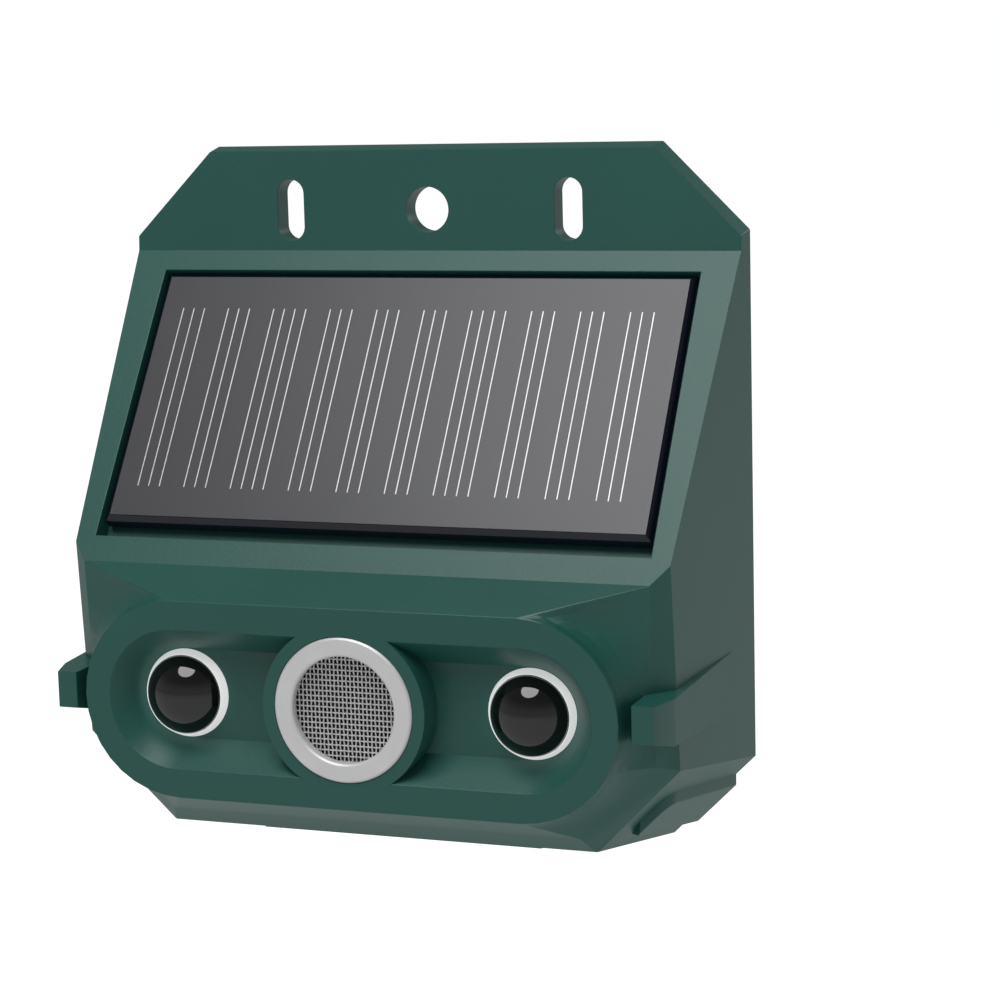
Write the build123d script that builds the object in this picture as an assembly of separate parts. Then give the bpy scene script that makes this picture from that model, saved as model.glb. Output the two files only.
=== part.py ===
from build123d import *
import math
import os

# Solar ultrasonic pest repeller for a wall.  Millimetres, +Z up, -Y towards the person looking at it.
# While it is modelled, z = 0 is the lowest pad and y = 0 is the wall.  A depth always counts out from
# the wall, so a depth of 10 is y = -10.  At export everything is lowered by HANG_Z, which puts the
# origin on the axis of the middle hang hole, at the wall.

# ---------------------------------------------------------------- driving dimensions: the box
HALF_WIDTH = 37.5
HEIGHT = 81.0
DEPTH = 32.0               # wall to the front of the speaker ring
HANG_Z = 73.6              # height of the three hanging holes
SIDE_DRAFT = 0.0868        # how much the half width shrinks per mm of depth
END_DRAFT = 0.172          # the same for the top and bottom edges
CORNER_CUT = 9.9           # 45 degree cut at the four corners
BODY_LOW = 0.9             # bottom edge of the body at the wall, above the lowest pad
WALL = 2.6

PLATE = 3.05               # thickness of the mounting plate above the slope
SLOPE_TOP_Z = 68.9
CREASE_DEPTH = 25.2        # foot of the slope
CREASE_Z = 37.6
FRONT_LEAN = 0.0767        # the front leans back towards the bottom
FRONT_LOW_Z = 4.8
FRONT_HALF = 33.4          # front rectangle, inside the facets round it
FRONT_HIGH = 30.8
FRONT_LOW = 2.0
FRONT_CUT = 8.83
FACET = 2.0                # 45 degree facet round the front

HOLE_R = 2.6
SLOT_X = 17.15
SLOT_LENGTH = 7.1
SLOT_WIDTH = 3.3

# the stadium-shaped boss and its pocket
BOSS_DEPTH = 31.8
BOSS_Z = 21.3
BOSS_R = 11.16
BOSS_X = 20.2              # half distance between the two end arcs
BOSS_WALL = 1.9
POCKET_R = 7.9
POCKET_X = 20.5
POCKET_FLOOR = 28.1
FLOOR_R = 5.1
FLOOR_WALL = 1.7

# ears, pads and posts of the housing
TAB_INNER = 32.65
TAB_FRONT = 31.5
TAB_CORNER = (35.0, 36.25)     # half widths before and after the ear's front corner
TAB_CORNER_DEPTH = 27.6
TAB_BACK = 6.4
PAD_PROUD = 0.9
PAD_EDGE = 3.3                 # from the side wall down the corner cut to the pad
PAD_FRONT = 18.8
PAD_TOE = (8.3, 9.4)
PAD_CORNER_R = 1.8
PAD_LOW_Z = 2.5
FOOT_HALF = 17.1
FOOT_DEPTH = 16.7
POST_R = 2.6
BOARD_POST_R = 2.2

# ---------------------------------------------------------------- driving dimensions: what it holds
RECESS_HALF = 33.0         # solar panel recess on the slope
RECESS_TOP = 2.7
RECESS_BOTTOM = 37.6
RECESS_DEEP = 2.4
PANEL_HALF = 32.0          # panel top face, flush with the slope
PANEL_TOP = 3.6
PANEL_BOTTOM = 35.0
PANEL_BEVEL = 0.6
TAPE = 0.4
PANEL_BOARD = 0.8
CELL = 0.2
CELL_COUNT = 10
CELL_LENGTH = 28.6
CELL_GAP = 0.25
LEAD_X = (30.4, 31.9)
LEAD_ALONG = 31.0          # down the slope to the wires
LEAD_R = 0.45
LEAD_BEND = 1.6
LEAD_END_Z = 26.0

TUBE_R = 9.55              # speaker tube
RING_R = 8.07
RING_BORE = 5.97
RING_SEAT = 30.8
RING_EDGE = 0.25
MESH = 0.4
SPACER = 0.2
CAN_R = 7.1
CAN_BACK = 19.5
CAN_FRONT = 30.2
CAN_BASE = 1.6
CAN_WALL = 0.6
DISC_R = 4.6
DISC = 0.8
SUPPORT = 1.0
CONE_R = 4.2
CONE_RISE = 3.2
CONE_THICK = 0.4
PIN_X = 2.5
PIN_R = 0.4

LAMP_X = 20.5
COLLAR_FRONT = 29.1
COLLAR_R = (5.05, 4.72)    # at the pocket floor and at its front
COLLAR_BORE = 4.54
LENS_R = 4.5
LENS_WALL = 0.8
LENS_FOOT = 29.1
LENS_RISE = 2.8
LENS_BACK = 27.5
SEAL = 0.6
LED_BACK = 24.6
LED_FOOT_R = 2.9
LED_R = 2.5
LEG_X = 1.27
LEG_R = 0.3

REBATE = 1.5               # rim of housing left round the rear cover
COVER = 2.0
SEAT = 2.6                 # depth of the gasket seat
COVER_TOP = 61.4
GAP = 0.15
COVER_SCREWS = [(30.5, 56.5), (-30.5, 56.5), (20.5, 8.6), (-20.5, 8.6)]
BOARD_SCREWS = [(28.5, 15.6), (-28.5, 15.6)]
SCREW_R = 1.1
HEAD_R = 2.3
HEAD = 1.1
CROSS = (2.6, 0.6, 0.7)    # length, width and depth of the cross slot
COVER_SCREW = (0.2, 6.0)   # near and far depth
BOARD_SCREW = (6.9, 13.2)

BOARD_NEAR = 8.0
BOARD = 1.2
BOARD_FAR = BOARD_NEAR + BOARD
BOARD_HALF = 33.0
BOARD_LOW = 11.4
BOARD_HIGH = 27.8
COIL_X, COIL_Z = 14.0, 17.0
COIL_R = 3.6
COIL_CORE_R = 2.6
CAPACITOR_X, CAPACITOR_Z = -16.8, 24.2
CAPACITOR_R = 2.5

BUTTON_X, BUTTON_Z = -17.0, 19.5
BUTTON_R = 3.9
BUTTON_FACE = 0.5          # recessed behind the rear cover
BUTTON_RING = (2.1, 2.6, 0.3)  # radii and depth of the groove round the fingertip
FLANGE_R = 5.2
FLANGE_NEAR = 2.8
FLANGE_FAR = 3.6
PLUNGER_R = 1.6
PLUNGER_FAR = 6.0
SWITCH = 6.0
SWITCH_NEAR = 4.8

CELL_R = 7.1               # battery
BATTERY_Z = 37.2
BATTERY_DEPTH = 10.2
BATTERY_HALF = 25.0
BATTERY_TIP = 1.0
HOLDER_HALF = 28.6
HOLDER_END = 1.1
CONTACT_HALF = HOLDER_HALF - HOLDER_END
SPRING_R = 2.6
SPRING_WIRE = 0.22
SPRING_TURNS = 4

SLOPE_RUN = math.hypot(CREASE_DEPTH - PLATE, SLOPE_TOP_Z - CREASE_Z)
OUT = (CREASE_DEPTH - PLATE) / SLOPE_RUN       # share of the slope that runs away from the wall
DOWN = (SLOPE_TOP_Z - CREASE_Z) / SLOPE_RUN    # share that runs down
FRONT_DEPTH = CREASE_DEPTH - (CREASE_Z - FRONT_LOW_Z) * FRONT_LEAN + FACET

WALL_PLANE = Plane.XZ                          # local x is X, local y is Z, normal points off the wall
SLOPE = Plane(origin=(0, -PLATE, SLOPE_TOP_Z), x_dir=(1, 0, 0), z_dir=(0, -DOWN, OUT))
FRONT = Plane(origin=(0, -FRONT_DEPTH, FRONT_LOW_Z), x_dir=(1, 0, 0), z_dir=(0, -1, -FRONT_LEAN))


# ---------------------------------------------------------------- small helpers
def polygon(points):
    """Flat face with straight sides."""
    return make_face(Polyline(*points, close=True))


def slab(face, near, far):
    """A face drawn on the wall, made solid between two depths."""
    return extrude(WALL_PLANE.offset(near) * face, far - near)


def rod(x, z, near, far, radius):
    """Round bar that stands straight out from the wall."""
    return slab(Pos(x, z) * Circle(radius), near, far)


def tube(x, z, near, far, outer, inner):
    return slab(Pos(x, z) * (Circle(outer) - Circle(inner)), near, far)


def block(left, right, near, far, low, high):
    """Box between two x, two depths and two z."""
    middle = Pos((left + right) / 2, -(near + far) / 2, (low + high) / 2)
    return middle * Box(right - left, far - near, high - low)


def both_sides(shape):
    return shape + mirror(shape, about=Plane.YZ)


def turned(x, z, outline):
    """Closed outline of (radius, depth) points, spun round an axis that stands out from the wall."""
    return Pos(x, 0, z) * revolve(polygon([(radius, -depth) for radius, depth in outline]), Axis.Y)


def group(solids):
    """Separate solids that share one node."""
    return Compound(children=list(solids))


def side_profile(points, half):
    """Outline of (depth, z) points seen from the side, made solid half mm each way."""
    return extrude(Plane.YZ * polygon([(-depth, z) for depth, z in points]), half, both=True)


def plan_profile(points, low, high):
    """Outline of (x, depth) points seen from above, made solid between two heights."""
    return Pos(0, 0, low) * extrude(polygon([(x, -depth) for x, depth in points]), high - low, dir=(0, 0, 1))


def slope_point(along, under):
    """(depth, z) of a point this far down the slope and this far below its surface."""
    return (PLATE + along * OUT - under * DOWN, SLOPE_TOP_Z - along * DOWN - under * OUT)


def slope_slab(half, top, bottom, low, high):
    """Rectangular slab on the slope between two heights over its surface."""
    middle = -(top + bottom) / 2
    return extrude(SLOPE.offset(low) * Pos(0, middle) * Rectangle(2 * half, bottom - top), high - low)


# ---------------------------------------------------------------- outline and draft of the body
def wall_outline(inset):
    """Body outline at the wall, moved in by inset, with its four 45 degree corners."""
    half = HALF_WIDTH - inset
    low = BODY_LOW + inset
    high = HEIGHT - inset
    cut = CORNER_CUT - inset * (2 - math.sqrt(2))
    right = [(half - cut, low), (half, low + cut), (half, high - cut), (half - cut, high)]
    return polygon(right + [(-x, z) for x, z in reversed(right)])


def corner_plane(high):
    """Plane of the right 45 degree corner cut, local x down its slope, normal outwards."""
    lift = -1 if high else 1
    level = HEIGHT - CORNER_CUT if high else BODY_LOW + CORNER_CUT
    across = Vector(-1, 0, -lift).normalized()
    along = Vector(-SIDE_DRAFT, -1, lift * END_DRAFT)
    normal = along.cross(across).normalized() * lift
    return Plane(origin=(HALF_WIDTH, 0, level), x_dir=across, z_dir=normal)


def drafted_block(inset, profile):
    """Body with flat drafted sides: a side view made solid, narrowed, then its four corners cut."""
    half = HALF_WIDTH - inset
    far = DEPTH + 8
    narrow = half - far * SIDE_DRAFT
    plan = [(-half, 0), (half, 0), (narrow, far), (-narrow, far)]
    body = side_profile(profile, HALF_WIDTH + 1) & plan_profile(plan, -10, HEIGHT + 10)
    for high in (False, True):
        wedge = extrude(corner_plane(high).offset(-inset) * Rectangle(HEIGHT, 4 * DEPTH), DEPTH)
        body -= both_sides(wedge)
    return body


def low_edge(inset, depth):
    """(depth, z) on the drafted bottom edge."""
    return (depth, BODY_LOW + inset + END_DRAFT * depth)


# ---------------------------------------------------------------- front housing
def front_corners():
    """Corners of the front rectangle on its right side, from the top down."""
    top = (FRONT_HALF, FRONT_HIGH)
    return [top, (FRONT_HALF, FRONT_LOW + FRONT_CUT), (FRONT_HALF - FRONT_CUT, FRONT_LOW)]


def body_core():
    """Plate, slope, sides and front, with the 45 degree facets round the front."""
    nose = FRONT.from_local_coords(Vector(*front_corners()[0], 0))
    past = (2 * -nose.Y - CREASE_DEPTH, 2 * nose.Z - CREASE_Z)
    far = FRONT_DEPTH + FACET
    outline = [low_edge(0, 0), (0, HEIGHT), (PLATE, HEIGHT - END_DRAFT * PLATE), (PLATE, SLOPE_TOP_Z),
               (CREASE_DEPTH, CREASE_Z), past, (far + FACET, past[1]), low_edge(0, far + FACET)]
    core = drafted_block(0, outline)
    _, side, bottom = front_corners()
    right = [bottom, side, (FRONT_HALF, HEIGHT + 9)]
    face = FRONT * polygon(right + [(-x, y) for x, y in reversed(right)])
    return core & extrude(face, -50, taper=-45)


def shoulder():
    """Coved shoulder that carries the front rectangle over to the round-ended boss."""
    corners = [FRONT.from_local_coords(Vector(x, y, 0)) for x, y in front_corners()]
    rings = [Wire.make_polygon(shoulder_ring(corners, step / 5), close=True) for step in range(6)]
    root = rings[-1].moved(Location((0, 1, 0)))
    return Solid.make_loft(rings + [root], ruled=True)


def shoulder_ring(corners, share):
    """Closed ring of points part of the way back from the boss face to the facet."""
    top, side, bottom = corners
    ring = []
    for turn in range(90, -91, -10):
        angle = math.radians(turn)
        boss = Vector(BOSS_X + BOSS_R * math.cos(angle), -BOSS_DEPTH, BOSS_Z + BOSS_R * math.sin(angle))
        if turn > -30:
            body = side + (top - side) * ((turn + 30) / 120) ** 0.8
        else:
            body = side + (bottom - side) * ((-turn - 30) / 60)
        steep = 1 + 1.3 * min(1, (90 - abs(turn)) / 30)
        step = body - boss
        spread = share ** steep
        ring.append((boss.X + step.X * spread, boss.Y + step.Y * share, boss.Z + step.Z * spread))
    return ring + [(-x, y, z) for x, y, z in reversed(ring)]


def side_tab():
    """Ear on the right: flush with the side wall at the back, and proud of it at the front."""
    root = HALF_WIDTH - 6
    flush = HALF_WIDTH - SIDE_DRAFT * TAB_BACK
    near_corner, far_corner = TAB_CORNER
    plan = [(root, TAB_BACK), (flush, TAB_BACK), (far_corner, TAB_CORNER_DEPTH), (near_corner, TAB_FRONT),
            (TAB_INNER, TAB_FRONT), (TAB_INNER, 20), (root, 20)]
    side = [(TAB_BACK, 3.35), (TAB_CORNER_DEPTH, 2.45), (TAB_FRONT, 2.4), (TAB_FRONT, -1.7),
            (TAB_CORNER_DEPTH, -2.7), (TAB_BACK, -3.65)]
    upright = side_profile([(depth, BOSS_Z + z) for depth, z in side], HALF_WIDTH + 1)
    return plan_profile(plan, BOSS_Z - 5, BOSS_Z + 5) & upright


def corner_pad():
    """Raised pad on the lower right corner cut: upright top edge, level lower edge, hooked front end."""
    heel, toe = PAD_TOE
    low = CORNER_CUT * math.sqrt(2)
    outline = [(PAD_EDGE, 0), (PAD_EDGE, -PAD_FRONT), (heel, -PAD_FRONT), (toe, 1 - PAD_FRONT),
               (low, 4 - PAD_FRONT), (low, 0)]
    face = polygon(outline)
    face = fillet(face.vertices().sort_by(Axis.Y)[:2].sort_by(Axis.X)[0], PAD_CORNER_R)
    drop = PAD_PROUD * math.sqrt(2)
    pad = Pos(0, 0, 1) * extrude(corner_plane(False) * face, drop + 1, dir=(0, 0, -1))
    foot = PAD_LOW_Z - BODY_LOW
    above = side_profile([low_edge(foot, 0), low_edge(foot, DEPTH), (DEPTH, BOSS_Z), (0, BOSS_Z)], HALF_WIDTH)
    return pad & above


def bottom_pad():
    return side_profile([(0, 0), (FOOT_DEPTH, FOOT_DEPTH * END_DRAFT), (FOOT_DEPTH, 6), (0, 4)], FOOT_HALF)


def cover_outline(inset):
    """Back opening: follows the body, but stops square under the mounting plate."""
    top = COVER_TOP + GAP - (inset - REBATE)
    keep = Pos(0, top - HEIGHT / 2) * Rectangle(2 * HEIGHT, HEIGHT)
    return wall_outline(inset) & keep


def main_cavity():
    """Inside of the box, one wall behind the slope and the front."""
    roof = slope_point(7.9, 4.0)
    foot = slope_point(40.2, 4.0)
    far = FRONT_DEPTH - FACET - WALL + 0.4
    return drafted_block(WALL, [low_edge(WALL, 0), (0, roof[1]), roof, foot, low_edge(WALL, far)])


def boss_outline(half, radius):
    """Stadium with its long axis along x, at the height of the boss."""
    return Pos(0, BOSS_Z) * SlotCenterToCenter(2 * half, 2 * radius)


def pocket():
    """Sunk stadium with sloping walls round the lamps and the speaker tube."""
    mouth = WALL_PLANE.offset(BOSS_DEPTH) * boss_outline(POCKET_X, POCKET_R)
    floor = WALL_PLANE.offset(POCKET_FLOOR) * boss_outline(POCKET_X, FLOOR_R)
    return loft([floor, mouth], ruled=True)


def hang_cuts():
    slot = Pos(SLOT_X, HANG_Z) * SlotOverall(SLOT_LENGTH, SLOT_WIDTH, rotation=90)
    return both_sides(slab(slot, -1, PLATE + 1)) + rod(0, HANG_Z, -1, PLATE + 1, HOLE_R)


def lead_holes():
    """Two slanting holes that let the panel's wires into the box."""
    holes = [SLOPE.offset(-9) * Pos(x, -LEAD_ALONG) * extrude(Circle(LEAD_R + 0.2), 9) for x in LEAD_X]
    return holes[0] + holes[1]


def front_housing():
    body = body_core() + shoulder() + both_sides(side_tab()) + both_sides(corner_pad()) + bottom_pad()
    body -= main_cavity()
    body -= slab(boss_outline(BOSS_X, BOSS_R - BOSS_WALL), 17, POCKET_FLOOR - FLOOR_WALL)
    body -= slab(cover_outline(REBATE), -1, SEAT)
    body -= pocket()
    body += rod(0, BOSS_Z, POCKET_FLOOR - FLOOR_WALL, BOSS_DEPTH, TUBE_R)
    body += tube(0, BOSS_Z, 21, POCKET_FLOOR, CAN_R + 1.6, CAN_R)
    for x, z in COVER_SCREWS:
        body += rod(x, z, SEAT, 8 if z > BOSS_Z else 22.5, POST_R)
    for x, z in BOARD_SCREWS:
        body += rod(x, z, BOARD_FAR, 23.5, BOARD_POST_R)
    for x, z in COVER_SCREWS:
        body -= rod(x, z, SEAT - 1, COVER_SCREW[1] + 0.6, SCREW_R + 0.1)
    for x, z in BOARD_SCREWS:
        body -= rod(x, z, BOARD_FAR - 1, BOARD_SCREW[1] + 0.8, SCREW_R + 0.1)
    body -= rod(0, BOSS_Z, 17, BOSS_DEPTH + 1, CAN_R + 0.05)
    body -= rod(0, BOSS_Z, RING_SEAT, BOSS_DEPTH + 1, RING_R + 0.05)
    body -= both_sides(rod(LAMP_X, BOSS_Z, 20, BOSS_DEPTH, COLLAR_BORE))
    body -= slope_slab(RECESS_HALF, RECESS_TOP, RECESS_BOTTOM, -RECESS_DEEP, 5)
    body -= lead_holes()
    body -= hang_cuts()
    return body


# ---------------------------------------------------------------- solar panel
BOARD_SEAT = TAPE - RECESS_DEEP            # heights over the slope's surface
CELL_SEAT = BOARD_SEAT + PANEL_BOARD


def panel_slab(grow, low, high):
    """Slab with the panel's outline, grown all round."""
    return slope_slab(PANEL_HALF + grow, PANEL_TOP - grow, PANEL_BOTTOM + grow, low, high)


def panel_tape():
    """Foam tape under the panel, a little smaller than it."""
    return panel_slab(-1, -RECESS_DEEP, BOARD_SEAT) - lead_holes()


def panel_board():
    return panel_slab(PANEL_BEVEL, BOARD_SEAT, CELL_SEAT)


def solar_cells():
    """Thin silicon strips side by side under the resin."""
    pitch = 2 * (PANEL_HALF - 1.2) / CELL_COUNT
    middle = -(PANEL_TOP + PANEL_BOTTOM) / 2
    cells = []
    for index in range(CELL_COUNT):
        x = (index - (CELL_COUNT - 1) / 2) * pitch
        strip = Pos(x, middle) * Rectangle(pitch - CELL_GAP, CELL_LENGTH)
        cells.append(extrude(SLOPE.offset(CELL_SEAT) * strip, CELL))
    return group(cells)


def panel_resin():
    """Clear resin block with a bevelled rim, cast over the cells."""
    resin = panel_slab(PANEL_BEVEL, CELL_SEAT, 0)
    top_face = resin.faces().sort_by(Axis(SLOPE.origin, SLOPE.z_dir))[-1]
    return chamfer(top_face.edges(), PANEL_BEVEL) - solar_cells()


def panel_leads():
    """Two thin wires from the panel to the circuit board, which they meet squarely."""
    start = slope_point(LEAD_ALONG, -BOARD_SEAT)
    turn = slope_point(LEAD_ALONG, 8.4)
    route = [start, turn, (BOARD_FAR + 3.4, LEAD_END_Z), (BOARD_FAR, LEAD_END_Z)]
    wires = []
    for x in LEAD_X:
        path = FilletPolyline(*[(x, -depth, z) for depth, z in route], radius=LEAD_BEND)
        wires.append(sweep(Plane(origin=path @ 0, z_dir=path % 0) * Circle(LEAD_R), path=path))
    return group(wires)


# ---------------------------------------------------------------- lamps
def lamp_collar(side):
    """Bright tapered sleeve that stands on the pocket floor round a lamp."""
    foot, tip = COLLAR_R
    bore = COLLAR_BORE + 0.02
    return turned(side * LAMP_X, BOSS_Z, [(bore, POCKET_FLOOR), (foot, POCKET_FLOOR), (tip, COLLAR_FRONT),
                                          (bore, COLLAR_FRONT)])


def lamp_lens(side):
    """Smoked dome with a straight skirt that plugs through the collar into the housing."""
    x = side * LAMP_X
    ball = (LENS_R ** 2 + LENS_RISE ** 2) / (2 * LENS_RISE)
    heart = Pos(x, -(LENS_FOOT + LENS_RISE - ball), BOSS_Z)
    dome = rod(x, BOSS_Z, LENS_BACK, LENS_FOOT, LENS_R)
    dome += (heart * Sphere(ball)) & rod(x, BOSS_Z, LENS_FOOT, DEPTH, LENS_R)
    dome -= rod(x, BOSS_Z, LENS_BACK - 1, LENS_FOOT, LENS_R - LENS_WALL)
    dome -= (heart * Sphere(ball - LENS_WALL)) & rod(x, BOSS_Z, LENS_FOOT, DEPTH, LENS_R - LENS_WALL)
    return dome


def lamp_seal(side):
    return tube(side * LAMP_X, BOSS_Z, LENS_BACK - SEAL, LENS_BACK, COLLAR_BORE, LENS_R - LENS_WALL)


def lamp_led(side):
    """Bullet lamp body with its wide foot ring."""
    x = side * LAMP_X
    shoulder_depth = LED_BACK + 3
    led = rod(x, BOSS_Z, LED_BACK, LED_BACK + 1, LED_FOOT_R)
    led += rod(x, BOSS_Z, LED_BACK + 1, shoulder_depth, LED_R)
    led += (Pos(x, -shoulder_depth, BOSS_Z) * Sphere(LED_R)) & rod(x, BOSS_Z, shoulder_depth, DEPTH, LED_R)
    return led


def lamp_legs(side):
    return group(rod(side * LAMP_X + x, BOSS_Z, BOARD_FAR, LED_BACK, LEG_R) for x in (-LEG_X, LEG_X))


# ---------------------------------------------------------------- speaker
def speaker_ring():
    ring = tube(0, BOSS_Z, RING_SEAT, DEPTH, RING_R, RING_BORE)
    front = ring.faces().sort_by(Axis.Y)[0]
    return chamfer(front.edges(), RING_EDGE)


def speaker_mesh():
    return rod(0, BOSS_Z, RING_SEAT - MESH, RING_SEAT, CAN_R - 0.1)


def speaker_spacer():
    return tube(0, BOSS_Z, CAN_FRONT, CAN_FRONT + SPACER, CAN_R - 0.1, CAN_R - 1.2)


def speaker_can():
    """Metal cup of the sounder, with two holes for its pins."""
    can = rod(0, BOSS_Z, CAN_BACK, CAN_FRONT, CAN_R)
    can -= rod(0, BOSS_Z, CAN_BACK + CAN_BASE, CAN_FRONT + 1, CAN_R - CAN_WALL)
    for x in (-PIN_X, PIN_X):
        can -= rod(x, BOSS_Z, CAN_BACK - 1, CAN_BACK + CAN_BASE + 1, PIN_R + 0.05)
    return can


def disc_support():
    """Soft ring under the ceramic disc."""
    near = CAN_BACK + CAN_BASE
    return tube(0, BOSS_Z, near, near + SUPPORT, 4.0, 3.1)


def speaker_disc():
    near = CAN_BACK + CAN_BASE + SUPPORT
    return rod(0, BOSS_Z, near, near + DISC, DISC_R)


def speaker_cone():
    """Light metal horn glued to the middle of the ceramic disc."""
    near = CAN_BACK + CAN_BASE + SUPPORT + DISC
    far = near + CONE_THICK
    return turned(0, BOSS_Z, [(0, near), (1.2, near), (CONE_R, near + CONE_RISE), (CONE_R, far + CONE_RISE),
                              (1.0, far), (0, far)])


def speaker_pins():
    return group(rod(x, BOSS_Z, BOARD_NEAR - 0.8, CAN_BACK + CAN_BASE, PIN_R) for x in (-PIN_X, PIN_X))


# ---------------------------------------------------------------- circuit board
def main_board():
    """Board with its lower corners cut back to clear the cover screws' posts."""
    right = [(22, BOARD_LOW), (31, BOARD_LOW + 1.6), (BOARD_HALF, BOARD_LOW + 5.1), (BOARD_HALF, BOARD_HIGH)]
    board = slab(polygon(right + [(-x, z) for x, z in reversed(right)]), BOARD_NEAR, BOARD_FAR)
    for x, z in BOARD_SCREWS:
        board -= rod(x, z, BOARD_NEAR - 1, BOARD_FAR + 1, SCREW_R + 0.15)
    for x in (-PIN_X, PIN_X):
        board -= rod(x, BOSS_Z, BOARD_NEAR - 1, BOARD_FAR + 1, PIN_R + 0.05)
    return board


def on_board(x, z, width, height, tall):
    """Block standing on the far side of the board."""
    return slab(Pos(x, z) * Rectangle(width, height), BOARD_FAR, BOARD_FAR + tall)


def controller_chip():
    return on_board(-10, 17, 6, 5, 1.5)


def driver_transistors():
    return group(on_board(8, z, 3, 1.5, 1.2) for z in (15, 19))


def boost_coil():
    """Ferrite bobbin."""
    bobbin = rod(COIL_X, COIL_Z, BOARD_FAR, BOARD_FAR + 5, COIL_R)
    return bobbin - tube(COIL_X, COIL_Z, BOARD_FAR + 1, BOARD_FAR + 4, COIL_R + 1, COIL_CORE_R)


def coil_winding():
    return tube(COIL_X, COIL_Z, BOARD_FAR + 1, BOARD_FAR + 4, COIL_R - 0.3, COIL_CORE_R)


def reservoir_capacitor():
    return rod(CAPACITOR_X, CAPACITOR_Z, BOARD_FAR, BOARD_FAR + 7, CAPACITOR_R)


def pan_screw(x, z, near, far):
    """Screw seen head first from behind, with a cross slot."""
    length, width, deep = CROSS
    cross = Pos(x, z) * (Rectangle(length, width) + Rectangle(width, length))
    screw = rod(x, z, near, near + HEAD, HEAD_R) + rod(x, z, near + HEAD, far, SCREW_R)
    return screw - slab(cross, near - 1, near + deep)


def board_screws():
    return group(pan_screw(x, z, *BOARD_SCREW) for x, z in BOARD_SCREWS)


# ---------------------------------------------------------------- power button
def power_button():
    """Cap recessed in the rear cover, with a flange that keeps it in."""
    inner, outer, deep = BUTTON_RING
    cap = rod(BUTTON_X, BUTTON_Z, BUTTON_FACE, FLANGE_NEAR, BUTTON_R)
    cap += rod(BUTTON_X, BUTTON_Z, FLANGE_NEAR, FLANGE_FAR, FLANGE_R)
    return cap - tube(BUTTON_X, BUTTON_Z, 0, BUTTON_FACE + deep, outer, inner)


def button_seal():
    return tube(BUTTON_X, BUTTON_Z, COVER, COVER + SEAL, FLANGE_R, BUTTON_R + GAP)


def switch_plunger():
    return rod(BUTTON_X, BUTTON_Z, FLANGE_FAR, PLUNGER_FAR, PLUNGER_R)


def switch_body():
    """Push switch on the near side of the board, with a well for the plunger."""
    body = slab(Pos(BUTTON_X, BUTTON_Z) * Rectangle(SWITCH, SWITCH), SWITCH_NEAR, BOARD_NEAR)
    return body - rod(BUTTON_X, BUTTON_Z, SWITCH_NEAR - 1, PLUNGER_FAR + 1, PLUNGER_R + 0.06)


# ---------------------------------------------------------------- battery
def battery_round(start, end, radius):
    """Bar along X on the battery's axis."""
    plane = Plane(origin=(start, -BATTERY_DEPTH, BATTERY_Z), z_dir=(1, 0, 0))
    return extrude(plane * Circle(radius), end - start)


def battery():
    cell = battery_round(-BATTERY_HALF, BATTERY_HALF, CELL_R)
    return cell + battery_round(BATTERY_HALF, BATTERY_HALF + BATTERY_TIP, 2.6)


def battery_holder():
    """Open tray with an end wall behind each contact."""
    low, high = BATTERY_Z - 8.4, BATTERY_Z + 8.4
    holder = block(-HOLDER_HALF, HOLDER_HALF, SEAT, BATTERY_DEPTH, low, high)
    holder += block(-HOLDER_HALF, -CONTACT_HALF, SEAT, 15.5, low, high - 1.6)
    holder += block(CONTACT_HALF, HOLDER_HALF, SEAT, 15.5, low, high - 1.6)
    return holder - battery_round(-CONTACT_HALF, CONTACT_HALF, CELL_R + 0.1)


def battery_tape():
    """Foam pad between the rear cover and the holder."""
    return block(-26, 26, COVER, SEAT, BATTERY_Z - 6, BATTERY_Z + 6)


def positive_contact():
    face = BATTERY_HALF + BATTERY_TIP
    plate = block(face, face + 0.4, 9.3, 13.4, 33.0, 42.0)
    return plate + block(face + 0.4, CONTACT_HALF, 9.3, 10.9, 36.0, 38.4)


def negative_contact():
    """Coil spring that pushes the cell against the other contact."""
    start = -CONTACT_HALF + SPRING_WIRE + 0.03
    travel = -BATTERY_HALF - start - SPRING_WIRE - 0.08
    path = Helix(pitch=travel / SPRING_TURNS, height=travel, radius=SPRING_R)
    coil = sweep(Plane(origin=path @ 0, z_dir=path % 0) * Circle(SPRING_WIRE), path=path)
    return Plane(origin=(start, -BATTERY_DEPTH, BATTERY_Z), z_dir=(1, 0, 0)) * coil


# ---------------------------------------------------------------- rear cover
def rear_cover():
    cover = slab(cover_outline(REBATE + GAP), 0, COVER)
    for x, z in COVER_SCREWS:
        cover -= rod(x, z, -1, COVER_SCREW[0] + HEAD, HEAD_R + 0.2)
        cover -= rod(x, z, -1, COVER + 1, SCREW_R + 0.2)
    return cover - rod(BUTTON_X, BUTTON_Z, -1, COVER + 1, BUTTON_R + 0.08)


def cover_gasket():
    ring = cover_outline(REBATE + GAP) - cover_outline(WALL + 0.1)
    return slab(ring, COVER, SEAT)


def cover_screws():
    return group(pan_screw(x, z, *COVER_SCREW) for x, z in COVER_SCREWS)


# ---------------------------------------------------------------- write the pieces
PIECES = [
    front_housing, panel_tape, panel_board, solar_cells, panel_resin, panel_leads, speaker_ring, speaker_mesh,
    speaker_spacer, speaker_can, disc_support, speaker_disc, speaker_cone, speaker_pins, main_board,
    controller_chip, driver_transistors, boost_coil, coil_winding, reservoir_capacitor, board_screws,
    power_button, button_seal, switch_plunger, switch_body, battery, battery_holder, battery_tape,
    positive_contact, negative_contact, rear_cover, cover_gasket, cover_screws,
]
LAMP_PIECES = [lamp_collar, lamp_lens, lamp_seal, lamp_led, lamp_legs]

shapes = {piece.__name__: piece() for piece in PIECES}
for piece in LAMP_PIECES:
    for name, side in (("left", -1), ("right", 1)):
        shapes[piece.__name__ + "_" + name] = piece(side)

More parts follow.
